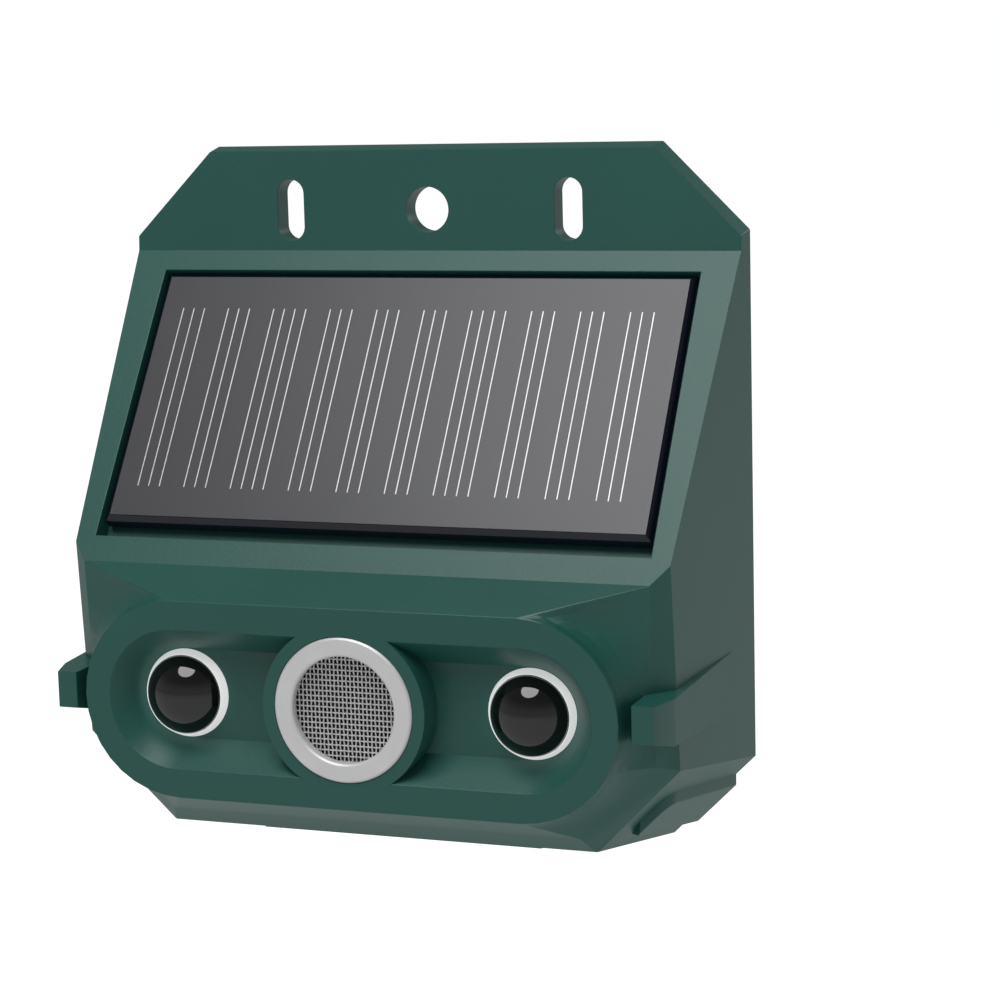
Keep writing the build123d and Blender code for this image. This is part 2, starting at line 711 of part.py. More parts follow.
os.makedirs("parts", exist_ok=True)
for node, shape in shapes.items():
    export_step(Pos(0, 0, -HANG_Z) * shape, "parts/" + node + ".step")
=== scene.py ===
# %% [markdown]
# # A solar pest repeller, finished in Blender
# The object hangs on a garden wall: a green moulded box with a sloping solar panel, and under it a
# silver ultrasonic speaker between two smoked lamps.  The engineering model already has every piece
# at its true size and place.  This notebook loads it as a fixed frame and gives it its looks, piece
# by piece: first the light and the camera, then the finishes, then the pieces that need more shape
# than the engineering model holds.

# %% Load the engineering model
import math

import bmesh
import bpy
from mathutils import Matrix, Vector


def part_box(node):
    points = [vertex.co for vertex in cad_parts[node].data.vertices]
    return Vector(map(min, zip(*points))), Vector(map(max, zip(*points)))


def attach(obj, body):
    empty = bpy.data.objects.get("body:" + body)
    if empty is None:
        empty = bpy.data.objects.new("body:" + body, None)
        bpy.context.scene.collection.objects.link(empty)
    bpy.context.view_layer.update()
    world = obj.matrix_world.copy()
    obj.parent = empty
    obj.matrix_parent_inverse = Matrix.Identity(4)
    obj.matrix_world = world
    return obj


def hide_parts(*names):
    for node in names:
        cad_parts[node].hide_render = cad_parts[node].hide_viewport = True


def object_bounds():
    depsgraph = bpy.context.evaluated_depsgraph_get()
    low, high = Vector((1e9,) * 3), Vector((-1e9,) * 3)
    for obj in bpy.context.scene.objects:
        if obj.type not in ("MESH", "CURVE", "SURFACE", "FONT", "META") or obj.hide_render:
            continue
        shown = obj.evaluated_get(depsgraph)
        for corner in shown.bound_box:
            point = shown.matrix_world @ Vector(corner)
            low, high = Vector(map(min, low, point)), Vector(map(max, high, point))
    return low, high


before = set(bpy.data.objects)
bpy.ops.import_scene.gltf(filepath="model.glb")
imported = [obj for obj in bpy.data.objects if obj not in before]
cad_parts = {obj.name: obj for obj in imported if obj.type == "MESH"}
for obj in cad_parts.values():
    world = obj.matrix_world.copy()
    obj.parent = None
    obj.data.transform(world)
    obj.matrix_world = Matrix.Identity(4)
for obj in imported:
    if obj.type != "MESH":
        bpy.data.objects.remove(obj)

MM = 0.001
CAD_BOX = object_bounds()
LOW, HIGH = (Vector(corner) for corner in CAD_BOX)
MIDDLE = (LOW + HIGH) / 2
print("nodes", len(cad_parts), "size in mm", [round(side / MM, 1) for side in HIGH - LOW])

# %% [markdown]
# ## Shader arithmetic
# A material in Blender is a graph of nodes, and a graph is slow to read.  One small class wraps a
# socket so that plain Python arithmetic adds the Math nodes, and one method makes every other node.
# After that a finish reads like a recipe.  Colours are linear, so 0.2 already looks like a mid grey.


# %% Two helpers for node graphs
class Value:
    """An output socket that can be used in arithmetic."""

    def __init__(self, graph, socket):
        self.graph = graph
        self.socket = socket

    def maths(self, operation, left, right):
        return self.graph.node("ShaderNodeMath", {"operation": operation}, {0: left, 1: right})

    def __add__(self, other):
        return self.maths("ADD", self, other)

    def __radd__(self, other):
        return self.maths("ADD", other, self)

    def __sub__(self, other):
        return self.maths("SUBTRACT", self, other)

    def __rsub__(self, other):
        return self.maths("SUBTRACT", other, self)

    def __mul__(self, other):
        return self.maths("MULTIPLY", self, other)

    def __rmul__(self, other):
        return self.maths("MULTIPLY", other, self)

    def __gt__(self, other):
        return self.maths("GREATER_THAN", self, other)


class Graph:
    """The nodes of one material, or of the world."""

    def __init__(self, owner):
        owner.use_nodes = True
        self.owner = owner
        self.tree = owner.node_tree
        self.tree.nodes.clear()

    def node(self, kind, settings=None, inputs=None, output=0):
        """Add a node: its settings first, then a value or a link for each named input."""
        new = self.tree.nodes.new(kind)
        for name, setting in (settings or {}).items():
            setattr(new, name, setting)
        for name, value in (inputs or {}).items():
            if isinstance(value, Value):
                self.tree.links.new(value.socket, new.inputs[name])
            else:
                new.inputs[name].default_value = value
        return Value(self, new.outputs[output]) if new.outputs else None

    def place(self, turn=(0, 0, 0), move=(0, 0, 0), stretch=(1, 1, 1)):
        """The point on the piece, in metres, turned or stretched for a pattern."""
        point = self.node("ShaderNodeTexCoord", output="Object")
        return self.node("ShaderNodeMapping", {"vector_type": "TEXTURE"},
                         {"Vector": point, "Location": move, "Rotation": turn, "Scale": stretch})

    def noise(self, size, detail=2):
        """Soft random blotches about this many metres across, from 0 to 1."""
        return self.node("ShaderNodeTexNoise", None,
                         {"Vector": self.place(), "Scale": 1 / size, "Detail": detail})

    def blend(self, share, start, end):
        """A colour between two colours."""
        return self.node("ShaderNodeMix", {"data_type": "RGBA"}, {0: share, 6: start, 7: end}, output=2)

    def bump(self, height, depth):
        """A surface that stands this many metres higher where the height is 1 than where it is 0."""
        return self.node("ShaderNodeBump", None, {"Height": height, "Distance": depth, "Strength": 1.0})

    def surface(self, **inputs):
        """Finish the material with the plastic, metal or glass shader."""
        inputs = {name.replace("_", " "): value for name, value in inputs.items()}
        shader = self.node("ShaderNodeBsdfPrincipled", None, inputs)
        self.node("ShaderNodeOutputMaterial", None, {"Surface": shader})
        return self.owner


def shade(red, green, blue):
    """A colour with its alpha."""
    return (red, green, blue, 1.0)


def darker(colour, share):
    """The colour times a share; a share above 1 makes it lighter."""
    return shade(*(part * share for part in colour[:3]))


def grey(level):
    return shade(level, level, level)


# %% [markdown]
# ## Camera
# The object is seen from its right and a little above, through a long lens, so that its upright
# edges stay almost parallel.  The camera is set by three turns and by its distance from a point near
# the middle.

# %% The camera
LENS = 99.85
NEAREST_SEEN = 10 * MM
TURN_RIGHT = math.radians(20.5)
LOOK_DOWN = math.radians(9.2)
ROLL = math.radians(-1.46)
CAMERA_AWAY = 307.1 * MM
AIM = MIDDLE + Vector((12.9, 0, 1.8)) * MM

turn = Matrix.Rotation(TURN_RIGHT, 4, "Z") @ Matrix.Rotation(math.pi / 2 - LOOK_DOWN, 4, "X")
camera = bpy.data.objects.new("camera", bpy.data.cameras.new("camera"))
camera.data.lens = LENS
camera.data.clip_start = NEAREST_SEEN
step_back = Matrix.Translation((0, 0, CAMERA_AWAY))
camera.matrix_world = Matrix.Translation(AIM) @ turn @ step_back @ Matrix.Rotation(ROLL, 4, "Z")
bpy.context.scene.collection.objects.link(camera)
bpy.context.scene.camera = camera
bpy.context.scene.view_settings.view_transform = "Standard"
print("camera at", [round(part, 4) for part in camera.matrix_world.translation])

# %% [markdown]
# ## Studio
# Dark gloss shows its surroundings more than its own colour, so the studio is part of the finish.
# The room has a dark ceiling, which keeps the faces that look up deep in colour, and grey walls at
# eye level, which lighten the sides.  One big soft lamp high in front gives the smoked domes their
# glint and the panel its slow change from dark to light, and a small lamp behind on the right picks
# out the far edges.  The camera itself sees plain white all round, so nothing competes with the
# object.


# %% Room, lamps and floor
WALL_GLOW = 0.35
CEILING_GLOW = 0.12
WALL_TOP = 0.1
CEILING_START = 0.6
FLOOR_GLOW = 0.42
FLOOR_PAINT = 0.25


def room_light():
    """Grey walls under a dark ceiling, but plain white wherever the room is looked at directly."""
    graph = Graph(bpy.data.worlds.new("room"))
    point = graph.node("ShaderNodeTexCoord", output="Generated")
    height = graph.node("ShaderNodeSeparateXYZ", None, {"Vector": point}, output="Z")
    glow = graph.node("ShaderNodeMapRange", {"interpolation_type": "SMOOTHSTEP"},
                      {"Value": height, "From Min": WALL_TOP, "From Max": CEILING_START,
                       "To Min": WALL_GLOW, "To Max": CEILING_GLOW})
    seen = graph.node("ShaderNodeLightPath", output="Is Camera Ray")
    strength = seen + (1 - seen) * glow
    background = graph.node("ShaderNodeBackground", None, {"Color": grey(1), "Strength": strength})
    graph.node("ShaderNodeOutputWorld", None, {"Surface": background})
    return graph.owner


def round_lamp(name, direction, away, radius, radiance):
    """A round soft lamp that points at the object from a direction."""
    lamp = bpy.data.objects.new(name, bpy.data.lights.new(name, "AREA"))
    lamp.data.shape = "DISK"
    lamp.data.size = 2 * radius
    lamp.data.energy = radiance * math.pi * math.pi * radius ** 2
    direction = Vector(direction).normalized()
    toward = direction.to_track_quat("Z", "Y").to_matrix().to_4x4()
    lamp.matrix_world = Matrix.Translation(MIDDLE + direction * away) @ toward
    bpy.context.scene.collection.objects.link(lamp)


def pale_floor(below, half):
    """A wide plain floor some way under the object, white to the eye and dimmer to the object."""
    shape = bmesh.new()
    bmesh.ops.create_grid(shape, x_segments=1, y_segments=1, size=half)
    bmesh.ops.translate(shape, verts=shape.verts, vec=(0, 0, LOW.z - below))
    mesh = bpy.data.meshes.new("floor")
    shape.to_mesh(mesh)
    shape.free()
    graph = Graph(bpy.data.materials.new("floor_paint"))
    seen = graph.node("ShaderNodeLightPath", output="Is Camera Ray")
    glow = graph.blend(seen, grey(FLOOR_GLOW), grey(1))
    mesh.materials.append(graph.surface(Base_Color=grey(FLOOR_PAINT), Roughness=0.9,
                                        Emission_Color=glow, Emission_Strength=1.0))
    floor = bpy.data.objects.new("floor", mesh)
    bpy.context.scene.collection.objects.link(floor)


bpy.context.scene.world = room_light()
round_lamp("front_lamp", (-0.05, -0.45, 0.89), away=0.5, radius=0.18, radiance=5.2)
round_lamp("back_lamp", (0.52, 0.76, 0.39), away=0.6, radius=0.05, radiance=12.0)
pale_floor(below=0.03, half=3.0)

# %% [markdown]
# ## Finishes
# The housing is injection moulded in a spark-eroded mould, which leaves a fine dull grain: every
# highlight breaks up into tiny points.  The grain is a bump made from fine noise.  The same noise
# and a much slower one shift the colour and the roughness a little, as real mouldings do.  With other
# numbers the same recipe makes all the plastics and rubbers.  A roughness of 0 is a mirror, and 1 is
# chalk.


# %% Plastics and rubbers
DRIFT = 0.18


def moulded(name, colour, rough, grain=0.35 * MM, depth=0.016 * MM):
    """Moulded plastic or rubber: fine grain, and colour and roughness that drift slowly."""
    graph = Graph(bpy.data.materials.new(name))
    fine = graph.noise(grain, detail=3)
    slow = graph.noise(18 * MM)
    tint = graph.blend(slow * 0.5 + fine * 0.5, darker(colour, 1 - DRIFT), darker(colour, 1 + DRIFT))
    uneven = rough - 0.05 + slow * 0.06 + fine * 0.04
    return graph.surface(Base_Color=tint, Roughness=uneven, Normal=graph.bump(fine, depth))


HOUSING_GREEN = shade(0.014, 0.100, 0.081)
BLACK = grey(0.012)

housing_green = moulded("housing_green", HOUSING_GREEN, rough=0.42)
cover_green = moulded("cover_green", darker(HOUSING_GREEN, 0.85), rough=0.5, grain=0.4 * MM)
gasket_rubber = moulded("gasket_rubber", BLACK, rough=0.75, grain=0.5 * MM)
button_rubber = moulded("button_rubber", darker(BLACK, 1.8), rough=0.6, grain=0.3 * MM)
spacer_black = moulded("spacer_black", BLACK, rough=0.8)
holder_black = moulded("holder_black", darker(BLACK, 1.5), rough=0.45)
switch_black = moulded("switch_black", darker(BLACK, 2.0), rough=0.4)
chip_black = moulded("chip_black", darker(BLACK, 1.4), rough=0.55, grain=0.12 * MM)
ferrite = moulded("ferrite", shade(0.04, 0.038, 0.036), rough=0.6, grain=0.15 * MM)
support_rubber = moulded("support_rubber", shade(0.35, 0.34, 0.32), rough=0.7)
foam_tape = moulded("foam_tape", shade(0.03, 0.03, 0.032), rough=0.9, grain=0.5 * MM, depth=0.08 * MM)
wire_red = moulded("wire_red", shade(0.42, 0.02, 0.015), rough=0.35, grain=1.0 * MM)
navy_laminate = moulded("navy_laminate", shade(0.006, 0.01, 0.03), rough=0.4)
capacitor_sleeve = moulded("capacitor_sleeve", shade(0.012, 0.02, 0.06), rough=0.3, grain=0.8 * MM)
print("plastics", len(bpy.data.materials))

# %% [markdown]
# ## Metals
# Small metal pieces differ mostly in how they were made.  A turned or spun piece carries fine rings
# round its axis, and a plated or blasted one is even.  One recipe covers both: a metal shader whose
# roughness follows rings or plain noise.  Painted trim is only partly bare metal.  The collars also
# glow faintly, which stands for the light that their polished cones gather from all round.


# %% Metals
def metal(name, colour, rough, rings_at=None, depth=0.002 * MM, bare=1.0, painted_glow=0.0):
    """Metal: tool marks go round rings_at, bare is 0 under full paint, and the last adds painted glow.
    """
    graph = Graph(bpy.data.materials.new(name))
    fine = graph.noise(0.1 * MM)
    slow = graph.noise(4 * MM)
    marks = fine
    if rings_at is not None:
        around = graph.place(move=rings_at)
        rings = graph.node("ShaderNodeTexWave", {"wave_type": "RINGS", "rings_direction": "Y"},
                           {"Vector": around, "Scale": 0.9 / MM, "Distortion": 1.5, "Detail Scale": 2.0})
        marks = rings * 0.6 + fine * 0.4
    tint = graph.blend(slow, darker(colour, 0.92), darker(colour, 1.06))
    return graph.surface(Base_Color=tint, Metallic=bare, Roughness=rough - 0.06 + marks * 0.12,
                         Normal=graph.bump(marks, depth), Emission_Color=tint, Emission_Strength=painted_glow)


def middle_of(node):
    low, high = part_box(node)
    return (low + high) / 2


SPEAKER = middle_of("speaker_ring")
ring_silver = metal("ring_silver", grey(0.8), rough=0.5, bare=0.4)
mesh_steel = metal("mesh_steel", grey(0.75), rough=0.4, bare=0.5)
# The collars carry a faint painted glow: emission that stands for light their polished cones gather.
collar_white_glow = metal("collar_white_glow", grey(0.95), rough=0.2, depth=0.0003 * MM, bare=0.1, painted_glow=0.5)
screw_zinc = metal("screw_zinc", shade(0.62, 0.62, 0.6), rough=0.35)
contact_nickel = metal("contact_nickel", shade(0.68, 0.66, 0.6), rough=0.25)
pin_tin = metal("pin_tin", grey(0.7), rough=0.3)
can_aluminium = metal("can_aluminium", shade(0.75, 0.75, 0.76), rough=0.35, rings_at=SPEAKER)
cone_aluminium = metal("cone_aluminium", shade(0.82, 0.82, 0.83), rough=0.28, rings_at=SPEAKER)
print("speaker axis at", [round(part / MM, 2) for part in SPEAKER])


# %% [markdown]
# ## Patterned finishes
# Some pieces carry a pattern that people know them by: copper tracks under green solder mask, the
# wire of a coil, the printed band on a battery's sleeve, the silver face of a ceramic disc.  Each is
# drawn from the point on the piece, so it stays put when the piece is turned or exported.


# %% Circuit board, coil, battery and ceramic disc
BAND_START = -13 * MM
BAND_END = -9 * MM
SLEEVE_END = -1.1 * MM
SILVER_R = 3.8 * MM
ENDLESS = 1000


def board_mask():
    """Green solder mask that is lighter over copper tracks and thicker beside them."""
    graph = Graph(bpy.data.materials.new("board_green"))
    where = graph.place(turn=(math.pi / 2, 0, 0), stretch=(12 * MM,) * 3)
    tracks = graph.node("ShaderNodeTexBrick", {"offset": 0.37, "squash": 1.6},
                        {"Vector": where, "Color1": grey(0), "Color2": grey(0), "Mortar": grey(1),
                         "Scale": 3.2, "Mortar Size": 0.05, "Mortar Smooth": 0.1})
    copper = graph.node("ShaderNodeSeparateColor", None, {"Color": tracks})
    green = graph.blend(copper, shade(0.004, 0.05, 0.02), shade(0.02, 0.16, 0.05))
    return graph.surface(Base_Color=green, Roughness=0.3 + graph.noise(0.3 * MM) * 0.1,
                         Normal=graph.bump(copper, 0.03 * MM))


def wound_copper(centre):
    """Enamelled wire wound in close turns round an axis that points out of the wall."""
    graph = Graph(bpy.data.materials.new("wound_copper"))
    turns = graph.node("ShaderNodeTexWave", {"bands_direction": "Y", "wave_profile": "SIN"},
                       {"Vector": graph.place(move=centre), "Scale": 0.5 / MM})
    colour = graph.blend(turns, shade(0.16, 0.03, 0.006), shade(0.75, 0.24, 0.07))
    return graph.surface(Base_Color=colour, Metallic=0.9, Roughness=0.25 + graph.noise(0.2 * MM) * 0.1,
                         Coat_Weight=0.6, Normal=graph.bump(turns, 0.1 * MM))


def battery_wrap(end):
    """Green shrink sleeve with a pale band towards the raised end."""
    graph = Graph(bpy.data.materials.new("battery_wrap"))
    along = graph.node("ShaderNodeSeparateXYZ", None, {"Vector": graph.place(move=end)}, output="X")
    band = (along > BAND_START) * (1 - (along > BAND_END))
    sleeve = graph.blend(band, shade(0.01, 0.16, 0.05), shade(0.75, 0.75, 0.7))
    bare = along > SLEEVE_END
    return graph.surface(Base_Color=graph.blend(bare, sleeve, shade(0.6, 0.6, 0.58)), Metallic=bare,
                         Roughness=0.28 + graph.noise(0.5 * MM) * 0.1,
                         Normal=graph.bump(graph.noise(2 * MM), 0.03 * MM))


def ceramic_disc_face():
    """Cream ceramic with a fired silver patch that stops short of the edge."""
    graph = Graph(bpy.data.materials.new("ceramic_disc"))
    where = graph.place(move=SPEAKER, stretch=(1, ENDLESS, 1))
    radius = graph.node("ShaderNodeVectorMath", {"operation": "LENGTH"}, {0: where}, output="Value")
    silver = 1 - (radius > SILVER_R)
    colour = graph.blend(silver, shade(0.62, 0.55, 0.4), shade(0.7, 0.7, 0.68))
    return graph.surface(Base_Color=colour, Metallic=silver * 0.9,
                         Roughness=0.45 + graph.noise(0.2 * MM) * 0.15)


def crystal_silicon():
    """Dark blue-black silicon with a faint crystal sheen."""
    graph = Graph(bpy.data.materials.new("silicon_cells"))
    crystal = graph.node("ShaderNodeTexVoronoi", None, {"Vector": graph.place(), "Scale": 0.4 / MM})
    sheen = graph.node("ShaderNodeSeparateColor", None, {"Color": crystal})
    colour = graph.blend(sheen, shade(0.01, 0.012, 0.03), shade(0.02, 0.026, 0.07))
    return graph.surface(Base_Color=colour, Roughness=0.25 + sheen * 0.1)


def clear_epoxy():
    """Clear cast resin, a little cloudy."""
    graph = Graph(bpy.data.materials.new("led_epoxy"))
    cloud = graph.noise(1.5 * MM)
    colour = graph.blend(cloud, shade(0.8, 0.82, 0.82), grey(0.95))
    return graph.surface(Base_Color=colour, Roughness=0.05 + cloud * 0.05,
                         Transmission_Weight=0.8, IOR=1.54)


board_green = board_mask()
coil_copper = wound_copper(middle_of("coil_winding"))
battery_sleeve = battery_wrap(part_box("battery")[1])
ceramic_disc = ceramic_disc_face()
silicon_cells = crystal_silicon()
led_epoxy = clear_epoxy()

# %% [markdown]
# ## Pieces that keep their engineering shape
# Everything inside the sealed box is already the right shape, so each of those pieces only takes
# its finish.  A table from node to finish is the shortest way to say it.

# %% Finish the sealed inner pieces
INNER_FINISHES = {
    "panel_tape": foam_tape, "panel_board": navy_laminate, "solar_cells": silicon_cells,
    "panel_leads": wire_red, "speaker_spacer": spacer_black, "speaker_can": can_aluminium,
    "disc_support": support_rubber, "speaker_disc": ceramic_disc, "speaker_cone": cone_aluminium,
    "speaker_pins": pin_tin, "main_board": board_green, "controller_chip": chip_black,
    "driver_transistors": chip_black, "boost_coil": ferrite, "coil_winding": coil_copper,
    "reservoir_capacitor": capacitor_sleeve, "board_screws": screw_zinc, "button_seal": gasket_rubber,
    "cover_gasket": gasket_rubber, "switch_plunger": switch_black, "switch_body": switch_black,
    "battery": battery_sleeve, "battery_holder": holder_black, "battery_tape": foam_tape,
    "positive_contact": contact_nickel, "negative_contact": contact_nickel,
}
for side in ("left", "right"):
    INNER_FINISHES["lamp_seal_" + side] = gasket_rubber
    INNER_FINISHES["lamp_led_" + side] = led_epoxy
    INNER_FINISHES["lamp_legs_" + side] = pin_tin

for node, finish in INNER_FINISHES.items():
    for material_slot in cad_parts[node].material_slots:
        material_slot.material = finish
print("inner pieces finished", len(INNER_FINISHES))

# %% [markdown]
# ## Bench tools for new pieces
# The visible pieces are made again with softer edges.  A few tools do most of it.  One turns a bmesh
# into an object that rides on its body and stands for its node.  One joins the loose triangles of an
# engineering shape into whole faces, and one rolls a hair-thin bevel along its outer edges, because
# no moulded edge is truly sharp and the bright line along it is what the eye reads as a real edge.
# Where short edges meet there is no room to roll, so those corners stay as they are.  The last tool
# spins a profile round an axis that points out of the wall, as on a lathe.


# %% Bench tools
SMOOTH_BELOW = 32
OUTER_ABOVE = 20
BEVEL_ROOM = 1.2


def new_piece(name, shape, finishes, replaces, body="root", crease=SMOOTH_BELOW):
    """Turn a bmesh into a finished piece that stands for one CAD node.

    Edges that turn by more than the crease angle stay crisp, but across a rolled edge the shading
    is always smooth.
    """
    for face in shape.faces:
        face.smooth = True
    for edge in shape.edges:
        limit = SMOOTH_BELOW if any(face.tag for face in edge.link_faces) else crease
        edge.smooth = len(edge.link_faces) == 2 and edge.calc_face_angle(0) < math.radians(limit)
    mesh = bpy.data.meshes.new(name)
    shape.to_mesh(mesh)
    shape.free()
    for finish in finishes:
        mesh.materials.append(finish)
    piece = bpy.data.objects.new(name, mesh)
    bpy.context.scene.collection.objects.link(piece)
    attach(piece, body)
    weighted = piece.modifiers.new("flat faces stay flat", "WEIGHTED_NORMAL")
    weighted.keep_sharp = True
    if replaces:
        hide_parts(replaces)
    print(name, len(mesh.polygons), "faces")


def soften(shape, edges, width, segments=2):
    """Roll the edges over, and tag the new narrow faces."""
    for face in shape.faces:
        face.tag = False
    rolled = bmesh.ops.bevel(shape, geom=edges, offset=width, offset_type="OFFSET", affect="EDGES",
                             segments=segments, profile=0.5, material=-1, clamp_overlap=False)
    for face in rolled["faces"]:
        face.tag = True


def sharp_edges(shape, width=0):
    """Outer edges that have room for a bevel this wide; inner corners stay as they are."""
    return [edge for edge in shape.edges
            if len(edge.link_faces) == 2
            and edge.calc_face_angle_signed(0) > math.radians(OUTER_ABOVE)
            and all(near.calc_length() > BEVEL_ROOM * width
                    for end in edge.verts for near in end.link_edges)]


def merged(node):
    """The engineering shape as one closed surface with whole flat faces."""
    shape = bmesh.new()
    shape.from_mesh(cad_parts[node].data)
    bmesh.ops.remove_doubles(shape, verts=shape.verts, dist=0.002 * MM)
    bmesh.ops.dissolve_limit(shape, angle_limit=math.radians(0.3), verts=shape.verts, edges=shape.edges)
    return shape


def lathe(profile, centre, steps=72):
    """Spin (radius, depth) points in mm round an axis that points out of the wall."""
    shape = bmesh.new()
    corners = [shape.verts.new((radius * MM, -depth * MM, 0)) for radius, depth in profile]
    line = [shape.edges.new(pair) for pair in zip(corners, corners[1:])]
    bmesh.ops.spin(shape, geom=corners + line, cent=(0, 0, 0), axis=(0, 1, 0), angle=2 * math.pi,
                   steps=steps, use_merge=True)
    bmesh.ops.remove_doubles(shape, verts=shape.verts, dist=0.001 * MM)
    bmesh.ops.recalc_face_normals(shape, faces=shape.faces)
    bmesh.ops.translate(shape, verts=shape.verts, vec=(centre.x, 0, centre.z))
    return shape


# %% [markdown]
# ## Housing and rear cover
# The engineering shape already has the slope, the coved shoulder and the pocket.  The copy gains
# softened edges and smooth shading across its coves.  A low crease angle keeps its shallow creases
# crisp, and still lets nearly all the narrow strips that make up a cove shade as one surface.

# %% Green mouldings
EDGE_SOFT = 0.12 * MM
SHALLOW_CREASE = 9

for node, finish, slot in (("front_housing", housing_green, "housing_green"),
                           ("rear_cover", cover_green, "cover_green")):
    shape = merged(node)
    soften(shape, sharp_edges(shape, EDGE_SOFT), EDGE_SOFT)
    new_piece(node + "_moulding", shape, [finish], node, crease=SHALLOW_CREASE)

# %% [markdown]
# ## Solar panel
# The panel is a slab of tinted resin over silicon strips.  Seen from the front it is a calm grey
# face inside a dark polished rim.  It is built lying flat, where its size is easy to read off the
# engineering node, and then tipped onto the slope.  The rim is two bevels: a broad one, and a
# rolled edge on each side of it that catches a thread of light.


# %% Panel finishes
def panel_glaze():
    """Satin resin over silicon: blue-grey, with a very fine ripple."""
    graph = Graph(bpy.data.materials.new("panel_glaze"))
    slow = graph.noise(14 * MM)
    fine = graph.noise(0.3 * MM)
    colour = graph.blend(slow, shade(0.052, 0.053, 0.060), shade(0.064, 0.064, 0.072))
    return graph.surface(Base_Color=colour, Roughness=0.3 + slow * 0.04 + fine * 0.03,
                         Normal=graph.bump(fine, 0.001 * MM))


def panel_rim():
    """Polished blue-black resin."""
    graph = Graph(bpy.data.materials.new("panel_rim"))
    slow = graph.noise(6 * MM)
    colour = graph.blend(slow, shade(0.002, 0.003, 0.01), shade(0.005, 0.006, 0.018))
    return graph.surface(Base_Color=colour, Roughness=0.14 + slow * 0.08)


# %% Panel slab
SLOPE_RISE = 31.3
SLOPE_RUN = 22.15
TIP = Matrix.Rotation(math.atan2(SLOPE_RISE, SLOPE_RUN), 4, "X")
RIM = 0.6 * MM
ROLLED = RIM / 8
NEARLY_LEVEL = 0.99
LARGEST_TRIM = 1e-4


def lying_flat(node):
    """Lowest and highest corner of a node with the slope laid level."""
    points = [TIP.inverted() @ corner.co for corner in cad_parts[node].data.vertices]
    low = Vector(min(point[axis] for point in points) for axis in range(3))
    high = Vector(max(point[axis] for point in points) for axis in range(3))
    return low, high


panel_low, panel_high = lying_flat("panel_resin")
shape = bmesh.new()
bmesh.ops.create_cube(shape, size=1)
bmesh.ops.scale(shape, verts=shape.verts, vec=panel_high - panel_low)
bmesh.ops.translate(shape, verts=shape.verts, vec=(panel_low + panel_high) / 2)
top_edges = [edge for edge in shape.edges if all(v.co.z > panel_high.z - RIM / 10 for v in edge.verts)]
soften(shape, top_edges, RIM, segments=1)
soften(shape, sharp_edges(shape), ROLLED)
for face in shape.faces:
    glazed = face.normal.z > NEARLY_LEVEL and face.calc_area() > LARGEST_TRIM
    face.material_index = 0 if glazed else 1
bmesh.ops.transform(shape, matrix=TIP, verts=shape.verts)
new_piece("solar_panel", shape, [panel_glaze(), panel_rim()], "panel_resin")

# %% [markdown]
# ## Finger lines
# Thin printed conductors gather the current.  They run down the panel in groups of three, with a
# fourth line in two of the groups.  Each line is one flattened bar, so they are made by a loop.

# %% Finger lines
GROUPS = (3, 3, 4, 3, 3, 3, 4, 3, 3, 3)
LINE_STEP = 1.36 * MM
GROUP_GAP = 3.1 * MM
LINE_WIDTH = 0.12 * MM
LINE_PROUD = 0.02 * MM
FIRST_LINE = 3.3 * MM
LINE_TOP = 4.3 * MM
LINE_BOTTOM = 3.8 * MM

shape = bmesh.new()
line_low = panel_low.y + RIM + LINE_BOTTOM
line_high = panel_high.y - RIM - LINE_TOP
across = panel_low.x + FIRST_LINE
for count in GROUPS:
    for step in range(count):
        bar = bmesh.ops.create_cube(shape, size=1)["verts"]
        bmesh.ops.scale(shape, verts=bar, vec=(LINE_WIDTH, line_high - line_low, 2 * LINE_PROUD))
        bmesh.ops.translate(shape, verts=bar, vec=(across, (line_low + line_high) / 2, panel_high.z))
        across += LINE_STEP
    across += GROUP_GAP - LINE_STEP
bmesh.ops.transform(shape, matrix=TIP, verts=shape.verts)
finger_silver = metal("finger_silver", shade(0.62, 0.62, 0.66), rough=0.5)
new_piece("finger_lines", shape, [finger_silver], None)

# %% [markdown]
# ## Speaker
# A satin ring holds a disc of woven wire in front of the sounder.  The ring is turned on the lathe.
# The weave is made wire by wire: a six-sided section pushed forward one mesh at a time, over one
# wire and under the next.  A disc of black cloth behind it hides the sounder.

# %% Speaker ring
ring_low, ring_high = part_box("speaker_ring")
mesh_low, mesh_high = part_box("speaker_mesh")
RING_OUTER = (ring_high.x - ring_low.x) / 2 / MM
RING_BORE = 5.97
RING_BACK = -ring_high.y / MM
RING_FRONT = -ring_low.y / MM
RING_EDGE = 0.22
RING_SOFT = 0.05 * MM

profile = [(RING_BORE, RING_BACK), (RING_OUTER, RING_BACK), (RING_OUTER, RING_FRONT - RING_EDGE),
           (RING_OUTER - RING_EDGE, RING_FRONT), (RING_BORE + RING_EDGE, RING_FRONT),
           (RING_BORE, RING_FRONT - RING_EDGE), (RING_BORE, RING_BACK)]
shape = lathe(profile, SPEAKER, steps=128)
soften(shape, sharp_edges(shape), RING_SOFT)
new_piece("speaker_bezel", shape, [ring_silver], "speaker_ring")

# %% Woven wire disc
WIRE_R = 0.085 * MM
WEAVE_ACROSS = 0.47 * MM
WEAVE_DOWN = 0.60 * MM
WEAVE_R = (mesh_high.x - mesh_low.x) / 2 - 2 * WIRE_R
WEAVE_DEPTH = (mesh_low.y + mesh_high.y) / 2
CLOTH = 0.02 * MM


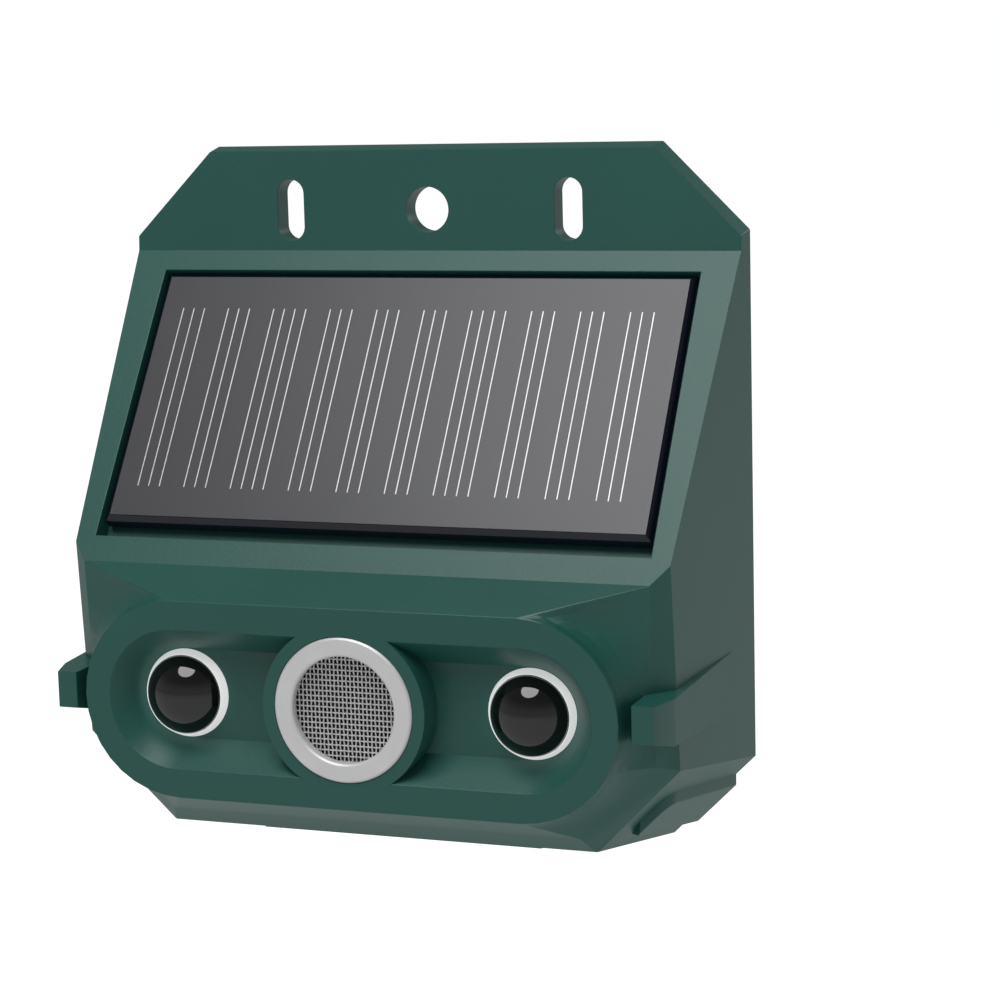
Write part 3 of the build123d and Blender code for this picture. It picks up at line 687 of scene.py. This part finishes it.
def weave_wire(shape, start, step, count, first_up):
    """Push a six-sided section along a wavy wire, one crossing at a time."""
    turn = step.to_track_quat("Z", "Y").to_matrix().to_4x4()
    place = Matrix.Translation(start) @ turn
    ring = bmesh.ops.create_circle(shape, cap_ends=True, segments=6, radius=WIRE_R,
                                   matrix=place)["verts"]
    tip = [face for face in shape.faces if all(corner in ring for corner in face.verts)]
    for crossing in range(count):
        grown = bmesh.ops.extrude_face_region(shape, geom=tip)["geom"]
        ring = [part for part in grown if isinstance(part, bmesh.types.BMVert)]
        tip = [part for part in grown if isinstance(part, bmesh.types.BMFace)]
        side = 1 if (crossing + first_up) % 2 else -1
        bmesh.ops.translate(shape, verts=ring, vec=step + Vector((0, 2 * side * WIRE_R, 0)))


shape = bmesh.new()
for across, down in ((WEAVE_ACROSS, WEAVE_DOWN), (WEAVE_DOWN, WEAVE_ACROSS)):
    upright = across == WEAVE_ACROSS
    reach = int(WEAVE_R / across)
    for line in range(-reach, reach + 1):
        half = int(math.sqrt(WEAVE_R ** 2 - (line * across) ** 2) / down)
        if half < 1:
            continue
        up = (line + half + upright) % 2
        lean = WIRE_R if up else -WIRE_R
        offset = Vector((line * across, WEAVE_DEPTH + lean, -half * down))
        step = Vector((0, 0, down))
        if not upright:
            offset = Vector((-half * down, WEAVE_DEPTH + lean, line * across))
            step = Vector((down, 0, 0))
        weave_wire(shape, offset + Vector((SPEAKER.x, 0, SPEAKER.z)), step, 2 * half, 1 - up)
bmesh.ops.recalc_face_normals(shape, faces=shape.faces)
cloth_at = Matrix.Translation((SPEAKER.x, mesh_high.y - CLOTH, SPEAKER.z))
cloth = bmesh.ops.create_circle(shape, cap_ends=True, segments=64, radius=WEAVE_R,
                                matrix=cloth_at @ Matrix.Rotation(math.pi / 2, 4, "X"))["verts"]
for face in cloth[0].link_faces:
    face.material_index = 1
new_piece("woven_mesh", shape, [mesh_steel, spacer_black], "speaker_mesh")

# %% [markdown]
# ## Lamps
# Each lamp is a dark smoked dome in a bright collar.  Both are turned.  The dome is a spherical cap
# on a short straight skirt, worked out from its rim and its rise, and hollow behind.  The collar is a
# sleeve that narrows to a thin lip round the dome.


# %% Lamp finishes
def smoked_lens():
    """Near-black polished plastic under a thin clear coat."""
    graph = Graph(bpy.data.materials.new("lens_smoke"))
    cloud = graph.noise(3 * MM)
    return graph.surface(Base_Color=graph.blend(cloud, grey(0.003), grey(0.007)),
                         Roughness=0.03 + cloud * 0.03, IOR=1.55, Coat_Weight=0.3)


# %% Domes and collars
DOME_RISE = 2.8
DOME_THICK = 0.45
DOME_STEPS = 14
COLLAR_TIP = 4.6
COLLAR_PLAY = 0.04


def cap(ball, heart, rim):
    """(radius, depth) points of a ball about its heart, from its crown out to a rim."""
    spread = math.asin(rim / ball)
    turns = [spread * step / DOME_STEPS for step in range(DOME_STEPS + 1)]
    return [(ball * math.sin(turn), heart + ball * math.cos(turn)) for turn in turns]


lens_smoke = smoked_lens()

for side in ("left", "right"):
    low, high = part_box("lamp_lens_" + side)
    centre = (low + high) / 2
    rim = (high.x - low.x) / 2 / MM
    back = -high.y / MM
    foot = -low.y / MM - DOME_RISE
    ball = (rim ** 2 + DOME_RISE ** 2) / (2 * DOME_RISE)
    heart = foot + DOME_RISE - ball
    outer = cap(ball, heart, rim)
    inner = cap(ball - DOME_THICK, heart, rim - DOME_THICK)[::-1]
    dome = lathe(outer + [(rim, back), (rim - DOME_THICK, back)] + inner, centre)
    new_piece("smoked_dome_" + side, dome, [lens_smoke], "lamp_lens_" + side)

    low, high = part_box("lamp_collar_" + side)
    outer_r = (high.x - low.x) / 2 / MM
    back = -high.y / MM
    front = -low.y / MM
    bore = rim + COLLAR_PLAY
    sleeve = [(bore, back), (outer_r, back), (COLLAR_TIP, front), (bore, front), (bore, back)]
    shape = lathe(sleeve, centre)
    new_piece("bright_collar_" + side, shape, [collar_white_glow], "lamp_collar_" + side)

# %% [markdown]
# ## Back of the box
# Four screws hold the rear cover, and a rubber button in a round well switches the repeller on.  The
# screws keep their engineering shape with softened edges.  The button is turned, with a shallow
# dish for the fingertip and a raised ring that can be found by feel.

# %% Screws and button
SCREW_SOFT = 0.08 * MM

shape = merged("cover_screws")
soften(shape, sharp_edges(shape), SCREW_SOFT)
new_piece("cover_screw_set", shape, [screw_zinc], "cover_screws")

low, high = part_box("power_button")
centre = (low + high) / 2
FLANGE_R = (high.x - low.x) / 2 / MM
CAP_R = 3.9
CAP_FACE = -high.y / MM
FLANGE_BACK = -low.y / MM
FLANGE = 0.8
# Radius in mm, and how far the cap lies below its raised ring there.
CAP_DIPS = ((0, 0.25), (1.2, 0.2), (2.1, 0.1), (2.3, 0), (2.6, 0), (2.8, 0.12), (3.3, 0.12),
            (3.7, 0.2), (CAP_R, 0.45))

profile = [(radius, CAP_FACE + dip) for radius, dip in CAP_DIPS]
profile += [(CAP_R, FLANGE_BACK - FLANGE), (FLANGE_R, FLANGE_BACK - FLANGE),
            (FLANGE_R, FLANGE_BACK), (0, FLANGE_BACK)]
shape = lathe(profile, centre)
new_piece("button_cap", shape, [button_rubber], "power_button", body="button")
